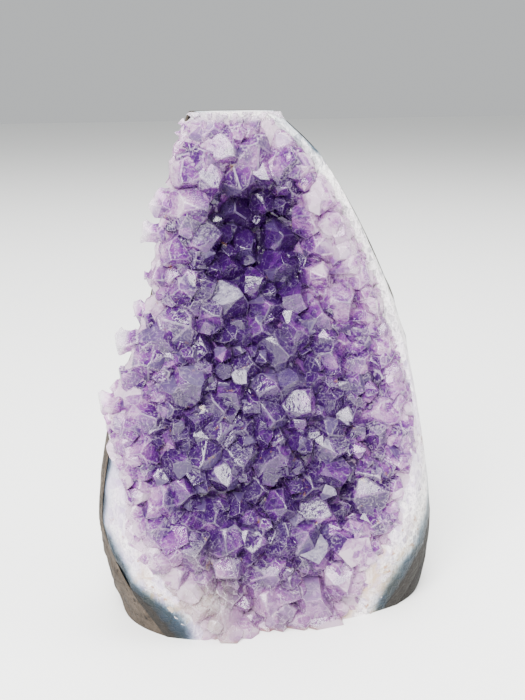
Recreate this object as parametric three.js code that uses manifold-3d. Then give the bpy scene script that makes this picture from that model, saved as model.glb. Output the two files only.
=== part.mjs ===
// An amethyst cluster: a piece of geode wall, sawn flat underneath so that it stands by itself.
//
// Three layers grew one inside the other, and each is one solid:
//   basalt_rind      the host rock, a thin rough skin at the back and two thick corners at the foot
//   quartz_wall      the pale quartz and agate lining, ground smooth where it meets the rim
//   amethyst_crust   the crystals, grown together into one crust over the hollow front
//
// Units are millimetres. +Z is up, the crystals face -Y, and the origin is under the middle of the
// piece, on the surface that it stands on.

import * as THREE from "three";
import { mergeVertices } from "three/addons/utils/BufferGeometryUtils.js";
import Module from "manifold-3d";

const wasm = await Module();
wasm.setup();

// ---------------------------------------------------------------- driving dimensions

// Horizontal sections of the whole piece, from the foot to the top. left, right and back are how far
// the outline reaches. face is the depth (y) that the crystal tips reach, from the left rim across
// the front to the right rim.
const SECTIONS = [
  { z: 0, left: -44, right: 54, back: 34, face: [4, -17, -21.5, -19, -2] },
  { z: 14, left: -49, right: 56, back: 37, face: [6, -17, -24, -21, -3] },
  { z: 32, left: -50, right: 55.5, back: 38, face: [7, -15, -23, -20, -1] },
  { z: 60, left: -45.5, right: 52, back: 37, face: [6, -10, -15, -15, 2] },
  { z: 88, left: -34, right: 46.3, back: 33, face: [6, -6, -5, -8, 5] },
  { z: 112, left: -28, right: 36.3, back: 29, face: [7, -4, 0, -4, 8] },
  { z: 132, left: -23.5, right: 24.6, back: 27, face: [8, -2, -1, -2, 9] },
  { z: 145, left: -20.5, right: 15, back: 25, face: [10, 2, 2, 3, 11] },
  { z: 150, left: -18.5, right: 8, back: 22, face: [12, 7, 6, 7, 12] },
];

// How far the quartz lies inside the outline of the stone, which is how thick the rind is there.
const RIND = [
  { z: 0, left: 10, right: 17, back: 9 },
  { z: 12, left: 6, right: 8, back: 7 },
  { z: 26, left: 1, right: 2, back: 5 },
  { z: 45, left: 0.9, right: 1, back: 4 },
  { z: 100, left: 0.9, right: 1, back: 3.5 },
  { z: 150, left: 1, right: 1, back: 3 },
];

// How far in from each side the rim is ground smooth. Below zero, even its edge has crystals.
const GROUND = [
  { z: 0, left: 24, right: 38 },
  { z: 10, left: 21, right: 35 },
  { z: 22, left: 13, right: 28 },
  { z: 37, left: 5.5, right: 19 },
  { z: 50, left: 2, right: 11 },
  { z: 62, left: -2.5, right: 6.5 },
  { z: 90, left: -2.5, right: 3 },
  { z: 150, left: -2, right: 3 },
];

// Deep places of the hollow: the middle, how far they reach sideways and upwards, and how deep.
const POCKETS = [
  { x: -2, z: 116, wide: 17, high: 15, deep: 9 },
  { x: 0, z: 41, wide: 26, high: 6, deep: 5 },
  { x: -16, z: 84, wide: 9, high: 12, deep: 3 },
];

// The largest crystals: where they stand, seen from the front, and how thick they are.
const LARGE_CRYSTALS = [
  { x: -1, z: 54, radius: 8 },
  { x: 17, z: 52, radius: 6 },
  { x: 8, z: 74, radius: 7 },
  { x: 19, z: 81, radius: 6.2 },
  { x: 9, z: 88, radius: 5.6 },
  { x: -11, z: 72, radius: 5.4 },
  { x: -16, z: 46, radius: 5.2 },
  { x: -31, z: 54, radius: 4.8 },
  { x: 18, z: 14, radius: 6.4 },
  { x: 9, z: 22, radius: 5.6 },
  { x: -6, z: 6, radius: 5.6 },
  { x: 31, z: 56, radius: 5 },
  { x: 2, z: 131, radius: 5.8 },
  { x: -13, z: 130, radius: 5.2 },
  { x: -26, z: 102, radius: 5.2 },
  { x: -22, z: 122, radius: 5 },
];

// The rest of the crystals, from thick to thin. spacing is how close the middles of two may stand,
// as a share of their two radii, tries is how often a place is looked for, and reach is how far the
// tips come, as a share of the bed's depth. A short crystal shows only the faces of its point.
const SMALL_CRYSTALS = [
  { radius: 5.2, spacing: 0.85, tries: 150, reach: 1.12, short: false },
  { radius: 4.3, spacing: 0.74, tries: 1500, reach: 0.95, short: true },
  { radius: 3.5, spacing: 0.72, tries: 4000, reach: 0.8, short: true },
];

const HEIGHT = SECTIONS.at(-1).z;
const BACK_SQUARENESS = 2.2; // 2 is a half ellipse, and more is boxier
const BED_DEPTH = 9; // from the crystal tips down to the quartz that they grew on
const RIM_WIDTH = 6; // over which the bed falls from the ground rim to that depth
const TOP_RIM = 1.5; // the ground rim along the top
const TOP_WIDTH = 8; // over which the bed falls below it
const FLUSH_WIDTH = 13; // over which the grinding of the rim has cut the crystals flush
const PROUD = 2; // how far crystals may stand out past the outline
const GAP = 0.3; // between one layer's solid and the next
const CRUST_FLOOR = 2.5; // the crust where it is thinnest, between the crystals
const SIDES = 6; // of a quartz crystal
const SLOPE = 1.27; // rise over run of a quartz crystal's end faces
const UNEVEN = 0.08; // how much the faces of one crystal differ, as a share
const OFF_MIDDLE = 0.25; // how far a crystal's point may stand off its middle, as a share of its radius
const SLIM = 0.18; // how much a crystal may be flattened, as a share
const LEAN = 0.36; // how far a crystal may lean away from the direction of the bed
const ROOT = 1; // how deep a crystal is rooted in the bed
const STOUT = 1.3; // the least length of a crystal, as a share of its radius
const SHALLOW = 0.25; // no crystals stand where the bed is less than this share of its full depth
const VARIED = 0.15; // how much the crystals of one kind differ in thickness and length, as a share
const SEED = 41;

// ---------------------------------------------------------------- small helpers

/** A repeatable source of numbers from 0 to 1. */
function randomSource(seed) {
  let state = seed >>> 0;
  return () => {
    state = (state + 0x6d2b79f5) >>> 0;
    let t = Math.imul(state ^ (state >>> 15), 1 | state);
    t = (t + Math.imul(t ^ (t >>> 7), 61 | t)) ^ t;
    return ((t ^ (t >>> 14)) >>> 0) / 4294967296;
  };
}

const random = randomSource(SEED);
const between = (low, high) => low + (high - low) * random();
const about = (size, share) => size * between(1 - share, 1 + share);
const { lerp, smoothstep, clamp } = THREE.MathUtils;

/** Smooth interpolation of rows of numbers: fn(position) gives the row there. */
function smoothRows(positions, rows) {
  const size = rows[0].length;
  const curve = new THREE.CubicInterpolant(positions, rows.flat(), size, new Float32Array(size));
  return (at) => Array.from(curve.evaluate(clamp(at, positions[0], positions.at(-1))));
}

const outlineAt = smoothRows(
  SECTIONS.map((s) => s.z),
  SECTIONS.map((s) => [s.left, s.right, s.back, ...s.face]),
);
const groundAt = smoothRows(
  GROUND.map((s) => s.z),
  GROUND.map((s) => [s.left, s.right]),
);
const rindAt = smoothRows(
  RIND.map((s) => s.z),
  RIND.map((s) => [s.left, s.right, s.back]),
);

/** A closed geometry as a solid that can be joined and cut. */
function solidOf(geometry) {
  const bare = new THREE.BufferGeometry().setAttribute("position", geometry.getAttribute("position"));
  bare.setIndex(geometry.index);
  const merged = mergeVertices(bare, 1e-4);
  const mesh = new wasm.Mesh({
    numProp: 3,
    vertProperties: merged.attributes.position.array,
    triVerts: new Uint32Array(merged.index.array),
  });
  return new wasm.Manifold(mesh);
}

/** The largest of the bodies that a cut leaves. */
function largestBody(solid) {
  const bodies = solid.decompose();
  return bodies.reduce((best, body) => (body.volume() > best.volume() ? body : best));
}

/** A closed skin through rings of points that all have the same count, with flat ends. */
function loft(rings) {
  const count = rings[0].length;
  const points = rings.flat();
  const faces = [];
  for (let row = 0; row + 1 < rings.length; row++) {
    for (let i = 0; i < count; i++) {
      const a = row * count + i;
      const b = row * count + ((i + 1) % count);
      faces.push(a, b, a + count, b, b + count, a + count);
    }
  }
  [rings[0], rings.at(-1)].forEach((ring, end) => {
    const flat = ring.map((p) => new THREE.Vector2(p.x, p.y));
    const start = end * (points.length - count);
    for (const [a, b, c] of THREE.ShapeUtils.triangulateShape(flat, [])) {
      faces.push(...(end ? [a, b, c] : [c, b, a]).map((i) => i + start));
    }
  });
  return new THREE.BufferGeometry().setFromPoints(points).setIndex(faces);
}

// ---------------------------------------------------------------- the shape of the stone

/** How far a place on the front is inside the ground rim. */
function insideRim(x, z) {
  const [left, right] = outlineAt(z);
  const [groundLeft, groundRight] = groundAt(z);
  return Math.min(x - left - groundLeft, right - groundRight - x);
}

/** From 0 on the ground rim to 1 in the hollow. */
function hollowness(x, z) {
  return smoothstep(insideRim(x, z), 0, RIM_WIDTH) * smoothstep(HEIGHT - TOP_RIM - z, 0, TOP_WIDTH);
}

/** How much deeper than the rest the hollow is at a place. */
function pocketDepth(x, z) {
  return POCKETS.reduce((sum, p) => {
    const away = ((x - p.x) / p.wide) ** 2 + ((z - p.z) / p.high) ** 2;
    return sum + p.deep * Math.exp(-away);
  }, 0);
}

/** A point of the surface that the crystal tips reach, at a share of the way across: -1 to 1. */
function tipPoint(across, z) {
  const [left, right, , ...face] = outlineAt(z);
  const x = lerp(left, right, (Math.sin((across * Math.PI) / 2) + 1) / 2);
  const y = smoothRows([-1, -0.5, 0, 0.5, 1], face.map((depth) => [depth]))(across)[0];
  return new THREE.Vector3(x, y + pocketDepth(x, z) * hollowness(x, z), z);
}

/** A point of the quartz bed, which is the ground rim itself outside the hollow. */
function bedPoint(across, z) {
  const point = tipPoint(across, z);
  point.y += BED_DEPTH * hollowness(point.x, z);
  return point;
}

/** The share of the way across that has a given x. */
function acrossAt(x, z) {
  const [left, right] = outlineAt(z);
  const share = clamp((x - left) / (right - left), 0, 1);
  return (Math.asin(2 * share - 1) * 2) / Math.PI;
}

/** The direction that the bed faces at a point. */
function bedNormal(across, z) {
  const [step, rise] = [0.03, 1.5];
  const sideways = bedPoint(across + step, z).sub(bedPoint(across - step, z));
  const upwards = bedPoint(across, z + rise).sub(bedPoint(across, z - rise));
  return sideways.cross(upwards).normalize();
}

/** Slow lumps of the natural skin. */
function lumps(x, z) {
  return (
    0.9 * Math.sin(x * 0.13 + z * 0.05 + 1) * Math.sin(z * 0.11 + 0.4) +
    0.5 * Math.sin(x * 0.31 - z * 0.17) +
    0.35 * Math.sin(z * 0.37 + x * 0.23 + 2)
  );
}

/** The back of a section, from its left rim round to its right rim. */
function backPoints(z, inset, count) {
  const [left, right, back] = outlineAt(z);
  const [x0, x1, y1] = [left + inset.left, right - inset.right, back - inset.back];
  const rims = [-1, 1].map((across) => bedPoint(across, z).y + inset.front);
  return Array.from({ length: count + 1 }, (_, i) => {
    const turn = Math.PI * (1 - i / count);
    const reach = (v) => Math.sign(v) * Math.abs(v) ** (2 / BACK_SQUARENESS);
    const across = reach(Math.cos(turn));
    const x = lerp(x0, x1, (across + 1) / 2);
    const rim = lerp(...rims, (across + 1) / 2);
    const bulge = reach(Math.sin(turn));
    return new THREE.Vector3(x, lerp(rim, y1, bulge) + lumps(x, z) * Math.min(1, 3 * bulge), z);
  });
}

/**
 * The whole stone without its crystals. outwards moves its skin and its ground rim, and forwards
 * moves the bed of the hollow.
 */
function stone(outwards, forwards) {
  const [levels, around, across] = [15, 16, 14];
  const inset = { left: -outwards, right: -outwards, back: -outwards, front: -outwards };
  const rings = [];
  for (let level = 0; level <= levels; level++) {
    const z = (HEIGHT * level) / levels;
    const ring = backPoints(z, inset, around);
    for (let i = 1; i < across; i++) {
      const point = bedPoint(1 - (2 * i) / across, z);
      point.y -= lerp(outwards, forwards, hollowness(point.x, z));
      ring.push(point);
    }
    rings.push(ring.reverse());
  }
  return solidOf(loft(rings));
}

/** Everything inside the rind, open towards the front and running past both ends of the stone. */
function insideRind(extra) {
  const [levels, around, far] = [10, 16, -80];
  const rings = [];
  for (let level = 0; level <= levels; level++) {
    const z = (HEIGHT * level) / levels;
    const [left, right, back] = rindAt(z).map((t) => t - extra);
    const ring = backPoints(z, { left, right, back, front: 0 }, around);
    ring.push(new THREE.Vector3(ring.at(-1).x, far, z), new THREE.Vector3(ring[0].x, far, z));
    rings.push(ring.reverse());
  }
  rings[0].forEach((p) => (p.z = -1));
  rings.at(-1).forEach((p) => (p.z = HEIGHT + 1));
  return solidOf(loft(rings));
}

/**
 * The space that the grinding of the rims left to the crystals: flush with the tips beside the
 * ground rims, and open in front of the hollow and over the upper left edge.
 */
function groundSpace() {
  const [levels, across, behind, open] = [15, 12, 40, 14];
  const rings = [];
  for (let level = 0; level <= levels; level++) {
    const z = (HEIGHT * level) / levels;
    const [left, right] = outlineAt(z);
    const wild = groundAt(z)[0] < 0;
    const x0 = left + (wild ? -PROUD : 2 * GAP);
    const x1 = right - 2 * GAP;
    const front = Array.from({ length: across + 1 }, (_, i) => {
      const point = tipPoint((2 * i) / across - 1, z);
      const cut = wild && point.x < 0 ? 0 : 1 - smoothstep(insideRim(point.x, z), 0, FLUSH_WIDTH);
      point.y -= lerp(open, GAP, cut);
      point.x = clamp(point.x, x0, x1);
      return point;
    });
    front[0].x = x0;
    rings.push([new THREE.Vector3(x0, behind, z), ...front, new THREE.Vector3(x1, behind, z)]);
  }
  rings[0].forEach((point) => (point.z = -1));
  return solidOf(loft(rings));
}

// ---------------------------------------------------------------- crystals

/**
 * One quartz crystal along +Z from its root at the origin: a prism of six unequal sides that ends
 * in six flat faces, which meet in a point a little off its middle. tip is the height of the point.
 * The faces of a short crystal run down to its root.
 */
function crystal(radius, tip, short) {
  const turn = between(0, Math.PI);
  const slim = about(1, SLIM);
  const off = OFF_MIDDLE * radius;
  const point = new THREE.Vector3(between(-off, off), between(-off, off), tip);
  const fall = SLOPE * Math.cos(Math.PI / SIDES);
  const shoulders = Array.from({ length: SIDES }, (_, i) => {
    const angle = ((i + between(-UNEVEN, UNEVEN)) * 2 * Math.PI) / SIDES;
    const out = new THREE.Vector2(slim * Math.cos(angle), Math.sin(angle) / slim);
    out.multiplyScalar(about(short ? tip / fall : radius, UNEVEN));
    out.rotateAround(new THREE.Vector2(), turn);
    const drop = about(fall * Math.hypot(out.x - point.x, out.y - point.y), UNEVEN);
    return new THREE.Vector3(out.x, out.y, short ? 0 : tip - drop);
  });
  const roots = shoulders.map((p) => new THREE.Vector3(p.x, p.y, 0));
  const crown = short ? 0 : SIDES;
  const faces = [];
  for (let i = 0; i < SIDES; i++) {
    const next = (i + 1) % SIDES;
    if (!short) faces.push(i, next, SIDES + i, next, SIDES + next, SIDES + i);
    faces.push(crown + i, crown + next, crown + SIDES);
    if (i > 1) faces.push(0, i, i - 1);
  }
  const corners = short ? [...roots, point] : [...roots, ...shoulders, point];
  return new THREE.BufferGeometry().setFromPoints(corners).setIndex(faces);
}

/** The root, direction and size of every crystal, spaced so that each keeps some room of its own. */
function plantCrystals() {
  const planted = [];
  const plant = (x, z, { radius, spacing, reach, short }) => {
    const depth = BED_DEPTH * hollowness(x, z);
    if (depth < SHALLOW * BED_DEPTH) return;
    const across = acrossAt(x, z);
    const normal = bedNormal(across, z);
    const root = bedPoint(across, z).addScaledVector(normal, -ROOT);
    if (planted.some((c) => c.root.distanceTo(root) < spacing * (c.radius + radius))) return;
    const lean = new THREE.Vector3(between(-LEAN, LEAN), between(-LEAN, LEAN), between(-LEAN, LEAN));
    const axis = normal.add(lean).normalize();
    const tip = Math.max(about(depth * reach, VARIED) + ROOT, radius * STOUT);
    planted.push({ root, radius, axis, tip, short });
  };
  for (const { x, z, radius } of LARGE_CRYSTALS) {
    plant(x, z, { radius, spacing: 0.7, reach: 1.2, short: false });
  }
  for (const kind of SMALL_CRYSTALS) {
    for (let i = 0; i < kind.tries; i++) {
      const z = between(-3, HEIGHT - 2);
      const [left, right] = outlineAt(z);
      plant(between(left, right), z, { ...kind, radius: about(kind.radius, VARIED) });
    }
  }
  return planted;
}

/** A planted crystal as a solid in its place. */
function crystalSolid({ root, radius, axis, tip, short }) {
  const turn = new THREE.Quaternion().setFromUnitVectors(new THREE.Vector3(0, 0, 1), axis);
  const upright = crystal(radius, tip, short);
  return solidOf(upright.applyQuaternion(turn).translate(root.x, root.y, root.z));
}

// ---------------------------------------------------------------- the three layers

function basaltRind() {
  return largestBody(stone(0, 0).subtract(insideRind(GAP)));
}

function quartzWall() {
  return largestBody(stone(0, 0).intersect(insideRind(0)));
}

function amethystCrust() {
  const grown = wasm.Manifold.union([stone(-GAP, CRUST_FLOOR), ...plantCrystals().map(crystalSolid)]);
  const ground = grown.intersect(groundSpace()).subtract(stone(GAP, GAP));
  return largestBody(ground.trimByPlane([0, 0, 1], 0));
}

// ---------------------------------------------------------------- meshes

/** A solid as a named mesh. */
function meshOf(name, solid, finish) {
  const { vertProperties, triVerts } = solid.getMesh();
  const geometry = new THREE.BufferGeometry()
    .setAttribute("position", new THREE.BufferAttribute(vertProperties, 3))
    .setIndex(new THREE.BufferAttribute(triVerts, 1));
  geometry.computeVertexNormals();
  const mesh = new THREE.Mesh(geometry, new THREE.MeshStandardMaterial({ metalness: 0, ...finish }));
  mesh.name = name;
  return mesh;
}

const cluster = new THREE.Group();
cluster.add(
  meshOf("basalt_rind", basaltRind(), { color: 0x8a8177, roughness: 0.85 }),
  meshOf("quartz_wall", quartzWall(), { color: 0xd6d0d6, roughness: 0.4 }),
  meshOf("amethyst_crust", amethystCrust(), { color: 0x8b69a8, roughness: 0.15, flatShading: true }),
);

const middle = new THREE.Box3().setFromObject(cluster).getCenter(new THREE.Vector3());
cluster.position.set(-middle.x, -middle.y, 0);

export default cluster;
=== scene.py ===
# %% [markdown]
# # An amethyst cluster
#
# A geode is a bubble in old lava that quartz has filled from the outside in. This one has been sliced and
# its foot sawn flat, so that it stands by itself. Three layers show: the basalt of the lava, the pale
# quartz and agate that lined the bubble, and the amethyst crystals that grew on that lining.
#
# The lesson builds them in order of difficulty: first the light and the camera, then the crystals with
# Geometry Nodes, then the stone around them, and at the end each layer's finish. The measured solids are
# loaded first, because they say where everything stands.

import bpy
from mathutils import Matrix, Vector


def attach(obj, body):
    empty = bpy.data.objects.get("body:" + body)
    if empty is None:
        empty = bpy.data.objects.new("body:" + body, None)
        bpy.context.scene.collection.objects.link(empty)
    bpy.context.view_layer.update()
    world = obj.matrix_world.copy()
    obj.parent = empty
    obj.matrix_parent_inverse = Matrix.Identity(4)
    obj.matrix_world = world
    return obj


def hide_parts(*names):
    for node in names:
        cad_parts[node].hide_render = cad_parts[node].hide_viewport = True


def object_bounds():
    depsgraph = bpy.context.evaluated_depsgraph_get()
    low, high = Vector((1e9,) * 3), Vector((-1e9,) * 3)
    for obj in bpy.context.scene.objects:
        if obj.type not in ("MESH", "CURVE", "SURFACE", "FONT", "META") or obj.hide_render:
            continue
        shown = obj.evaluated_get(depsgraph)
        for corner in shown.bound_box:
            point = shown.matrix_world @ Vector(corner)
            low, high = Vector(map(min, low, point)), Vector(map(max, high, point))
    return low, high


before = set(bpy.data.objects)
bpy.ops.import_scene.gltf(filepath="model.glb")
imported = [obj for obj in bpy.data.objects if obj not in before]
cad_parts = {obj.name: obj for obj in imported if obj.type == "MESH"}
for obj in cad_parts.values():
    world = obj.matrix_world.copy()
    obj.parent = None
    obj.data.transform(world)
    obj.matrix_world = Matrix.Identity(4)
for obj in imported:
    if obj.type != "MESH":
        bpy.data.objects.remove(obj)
cad_low, cad_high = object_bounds()
print("solids:", sorted(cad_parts))

# %% The tools that every cell uses
import math
import random

import bmesh
import bpy
import numpy as np
from mathutils import Vector, noise
from mathutils.bvhtree import BVHTree

MM = 0.001
HEIGHT = cad_high.z
scene = bpy.context.scene
print("the piece is", [round(side / MM, 1) for side in cad_high - cad_low], "mm")

# %% [markdown]
# ## Floor, camera and light
#
# Crystals are mostly a picture of the light around them. One bare lamp gives a few hard sparks and black
# facets in between, and an even sky turns every facet milky. So the room is a soft grey sky with two large
# panels and a small one in it, which each facet either catches or misses. The floor is pale, as it throws
# light back up into the hollow.


# %% A pale floor
def plain_material(name, colour, roughness):
    material = bpy.data.materials.new(name)
    material.use_nodes = True
    shader = material.node_tree.nodes["Principled BSDF"]
    shader.inputs["Base Color"].default_value = (*colour, 1)
    shader.inputs["Roughness"].default_value = roughness
    return material


FLOOR_REACH = 3
corners = [(x * FLOOR_REACH, y * FLOOR_REACH, 0) for x, y in ((-1, -1), (1, -1), (1, 1), (-1, 1))]
floor_mesh = bpy.data.meshes.new("floor")
floor_mesh.from_pydata(corners, [], [(0, 1, 2, 3)])
floor_mesh.materials.append(plain_material("pale_floor", (0.93, 0.93, 0.91), 0.45))
floor = bpy.data.objects.new("floor", floor_mesh)
scene.collection.objects.link(floor)
print("the floor is", 2 * FLOOR_REACH, "m wide")

# %% The camera
CAMERA_PLACE = Vector((-93.4, -269.2, 161)) * MM
CAMERA_PITCH, CAMERA_TURN = 74, -19

camera_data = bpy.data.cameras.new("camera")
camera_data.lens, camera_data.sensor_width = 50, 36
camera = bpy.data.objects.new("camera", camera_data)
camera.location = CAMERA_PLACE
camera.rotation_euler = (math.radians(CAMERA_PITCH), 0, math.radians(CAMERA_TURN))
scene.collection.objects.link(camera)
scene.camera = camera
print("the camera is", round((CAMERA_PLACE - (cad_low + cad_high) / 2).length, 3), "m away")


# %% Soft light
def panel(name, place, size, power, target=(0, 0, 0.07)):
    """A square of soft light that faces a point of the piece."""
    light = bpy.data.lights.new(name, "AREA")
    light.shape, light.size, light.energy = "SQUARE", size, power
    lamp = bpy.data.objects.new(name, light)
    lamp.location = place
    lamp.rotation_euler = (Vector(target) - Vector(place)).to_track_quat("-Z", "Y").to_euler()
    scene.collection.objects.link(lamp)
    return lamp


panel("key_panel", (-0.55, -0.75, 1.0), size=0.95, power=78)
panel("side_panel", (0.9, -0.35, 0.55), size=0.5, power=7)
panel("top_panel", (0.1, 0.25, 1.1), size=0.8, power=20)
world = bpy.data.worlds.new("studio")
world.use_nodes = True
sky = world.node_tree.nodes["Background"].inputs
sky["Color"].default_value = (0.84, 0.86, 0.87, 1)
sky["Strength"].default_value = 0.72
scene.world = world
print("lights:", [light.name for light in bpy.data.lights])

# %% [markdown]
# ## A short way to write nodes
#
# Materials and Geometry Nodes are both graphs. Wiring them by hand takes three lines a node, so one small
# class holds a socket and lets Python's own operators add Math nodes, and one method makes every other
# kind of node. The reflected operators, such as __rsub__, are what makes 1 - mask work.


# %% Sockets that do sums
class Value:
    """A socket of a node tree. Sums with it add Math nodes to that tree."""

    def __init__(self, tree, socket):
        self.tree, self.socket = tree, socket

    def math(self, operation, *others):
        return self.tree.node("ShaderNodeMath", {"operation": operation}, dict(enumerate((self, *others))))

    def turned(self, operation, other):
        return self.tree.node("ShaderNodeMath", {"operation": operation}, {0: other, 1: self})

    def __add__(self, other):
        return self.math("ADD", other)

    def __sub__(self, other):
        return self.math("SUBTRACT", other)

    def __rsub__(self, other):
        return self.turned("SUBTRACT", other)

    def __mul__(self, other):
        return self.math("MULTIPLY", other)

    def __truediv__(self, other):
        return self.math("DIVIDE", other)

    def __rtruediv__(self, other):
        return self.turned("DIVIDE", other)

    def __pow__(self, other):
        return self.math("POWER", other)

    __radd__, __rmul__ = __add__, __mul__

    def smooth(self, low, high):
        """0 below low, 1 above high, and a soft step in between. low may be the greater one."""
        inputs = {"Value": self, "From Min": low, "From Max": high}
        return self.tree.node("ShaderNodeMapRange", {"interpolation_type": "SMOOTHSTEP"}, inputs)


class Tree:
    """A node tree that is written as expressions."""

    def __init__(self, tree):
        self.tree = tree

    def node(self, kind, settings=None, inputs=None, output=0):
        """One node: its kind, its settings, the values or links of its sockets, and which output is used."""
        made = self.tree.nodes.new(kind)
        for name, value in (settings or {}).items():
            if name == "stops":
                for index, (place, colour) in enumerate(value):
                    stop = made.color_ramp.elements
                    stop = stop[index] if index < len(stop) else stop.new(place)
                    stop.position, stop.color = place, (*colour, 1)
            else:
                setattr(made, name, value)
        for name, value in (inputs or {}).items():
            if isinstance(value, Value):
                self.tree.links.new(value.socket, made.inputs[name])
            elif isinstance(value, tuple) and len(value) == 3 and made.inputs[name].type == "RGBA":
                made.inputs[name].default_value = (*value, 1)
            else:
                made.inputs[name].default_value = value
        return Value(self, made.outputs[output])

    def attribute(self, name):
        """A number that the mesh carries."""
        return self.node("ShaderNodeAttribute", {"attribute_name": name}, output="Fac")

    def mix(self, amount, one, other, blend="MIX"):
        """From one colour to another."""
        settings = {"data_type": "RGBA", "blend_type": blend, "clamp_factor": True}
        return self.node("ShaderNodeMix", settings, {0: amount, 6: one, 7: other}, 2)

    def place(self, stretch=(1, 1, 1)):
        """Places on the object in millimetres, so that a pattern's scale is one over its size."""
        spot = self.node("ShaderNodeTexCoord", output="Object")
        return self.node("ShaderNodeMapping", {}, {"Vector": spot, "Scale": tuple(s / MM for s in stretch)})

    def cloud(self, size, detail=3, rough=0.5, stretch=(1, 1, 1), warp=0.0):
        """Soft noise from 0 to 1, whose blotches are size millimetres wide."""
        inputs = {"Vector": self.place(stretch), "Scale": 1 / size, "Detail": detail, "Roughness": rough}
        return self.node("ShaderNodeTexNoise", {}, {**inputs, "Distortion": warp})

    def cells(self, size, feature="F1", output="Distance"):
        """Grains size millimetres wide, read as the distance to the middle or the edge of each."""
        inputs = {"Vector": self.place(), "Scale": 1 / size}
        return self.node("ShaderNodeTexVoronoi", {"feature": feature}, inputs, output)

    def grains(self, size):
        """A random number from 0 to 1 for each grain of that size."""
        return self.node("ShaderNodeSeparateColor", {}, {0: self.cells(size, output="Color")}, "Red")

    def along(self, axis):
        """How far along X, Y or Z a place is, in millimetres."""
        return self.node("ShaderNodeSeparateXYZ", {}, {0: self.place()}, axis)

    def bump(self, height, deep):
        """A normal for a height from 0 to 1 that stands for that many millimetres."""
        return self.node("ShaderNodeBump", {}, {"Height": height, "Distance": deep * MM, "Strength": 1})


print("sums that Value can do:", [name for name in vars(Value) if name.startswith("__r")])

# %% [markdown]
# ## The front of the stone as a height map
#
# The crystals fill the space between two surfaces: the bed that they are rooted in, and the smooth sheet
# that their tips reach. The bed is read off the solids by shooting rays at their front, which gives one
# depth for each place. The sheet of the tips is then the bed moved forwards, by nothing at the ground rims
# and by the crystals' full depth well inside them.

# %% Shoot rays at the front
STEP = 1.25 * MM
columns = np.arange(cad_low.x + STEP / 2, cad_high.x, STEP)
levels = np.arange(STEP / 2, HEIGHT, STEP)


def front_of(*nodes):
    """How far back the front of these solids is at each level and column, and nan beside them."""
    before = cad_low.y - 10 * MM
    points, faces = [], []
    for node in nodes:
        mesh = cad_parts[node].data
        start = len(points)
        points += [vertex.co.copy() for vertex in mesh.vertices]
        faces += [[start + i for i in polygon.vertices] for polygon in mesh.polygons]
    rays = BVHTree.FromPolygons(points, faces)
    depth = np.full((len(levels), len(columns)), np.nan)
    for row, z in enumerate(levels):
        for column, x in enumerate(columns):
            hit = rays.ray_cast(Vector((x, before, z)), Vector((0, 1, 0)))[0]
            if hit:
                depth[row, column] = hit.y
    return depth


bed_front = front_of("quartz_wall")
whole_front = front_of("quartz_wall", "amethyst_crust")
print("the bed is", int(np.isfinite(bed_front).sum() * (STEP / MM) ** 2), "square mm")


# %% Tools for height maps
def steps(value, low, high):
    """0 below low, 1 above high, and a soft step in between."""
    share = np.clip((value - low) / (high - low), 0, 1)
    return share * share * (3 - 2 * share)


def shifted(field, reach):
    """The field moved by every step inside a disc."""
    moves = range(-reach, reach + 1)
    padded = np.pad(field, reach, constant_values=np.nan)
    for down in moves:
        for side in moves:
            if down * down + side * side <= reach * reach + 1:
                yield padded[reach + down :][: field.shape[0], reach + side :][:, : field.shape[1]]


def softened(field, reach):
    """The mean of the neighbours that have a depth."""
    near = np.stack(list(shifted(field, reach)))
    known = np.isfinite(near)
    return np.where(known, near, 0).sum(axis=0) / np.where(known.any(axis=0), known.sum(axis=0), np.nan)


def filled(field):
    """The field with its empty places taken from their nearest neighbours."""
    while np.isnan(field).any():
        field = np.where(np.isnan(field), softened(field, 1), field)
    return field


def ends_of(mask):
    """The first and the last column that the mask covers in each row."""
    last_index = mask.shape[1] - 1
    first = np.array([columns[row.argmax()] for row in mask])
    last = np.array([columns[last_index - row[::-1].argmax()] for row in mask])
    return first, last


inside = np.isfinite(whole_front)
bed = filled(softened(bed_front, 1))
left_edge, right_edge = ends_of(inside)
left_edge, right_edge = left_edge - STEP / 2, right_edge + STEP / 2
print("the front is from", round(left_edge.min() / MM, 1), "to", round(right_edge.max() / MM, 1), "mm")

# %% [markdown]
# ## Where the saw and the grinder stopped
#
# At both sides, and along the top, the stone is ground flush: there the crystals are cut off and only pale
# quartz shows. Inside that rim the bed falls away to the depth of the crystals. The line between the two
# could be drawn by hand, but the solids already hold it: it runs where the crust starts to cover the bed.
# So it is read row by row and evened out. Everything later asks how far inside this line a place is.

# %% The line of the ground rim
THINNEST_CRUST = 0.15 * MM  # less than this counts as bare
RIM_START = 1.75 * MM  # how far outside the first crystal the fall starts
WILD_FROM, WILD_FADE = 60 * MM, 10 * MM  # the left edge was never ground above this height
UNGROUND = 2.5 * MM  # how far outside the edge the crystals start there
GROUND_RIGHT = 2.8 * MM  # how much wider the ground rim is at the upper right
GROUND_FROM, GROUND_TO = 70 * MM, 85 * MM  # the heights over which it widens
EVENED = 9  # rows in the mean that evens the line out

covered = np.isfinite(bed_front) & (whole_front < bed_front - THINNEST_CRUST)
covered[-1] = covered[-6] & inside[-1]
first, last = ends_of(covered)
last = np.where(covered.sum(axis=1) > 4, last, last[-8])
first = np.where(levels > WILD_FROM, left_edge + RIM_START - UNGROUND, first)
last = last - GROUND_RIGHT * steps(levels, GROUND_FROM, GROUND_TO)
blur = np.ones(EVENED) / EVENED
first, last = (
    np.convolve(np.pad(line, EVENED // 2, mode="edge"), blur, mode="valid") for line in (first, last)
)
print("the hollow is up to", round((last - first).max() / MM, 1), "mm wide")

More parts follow.
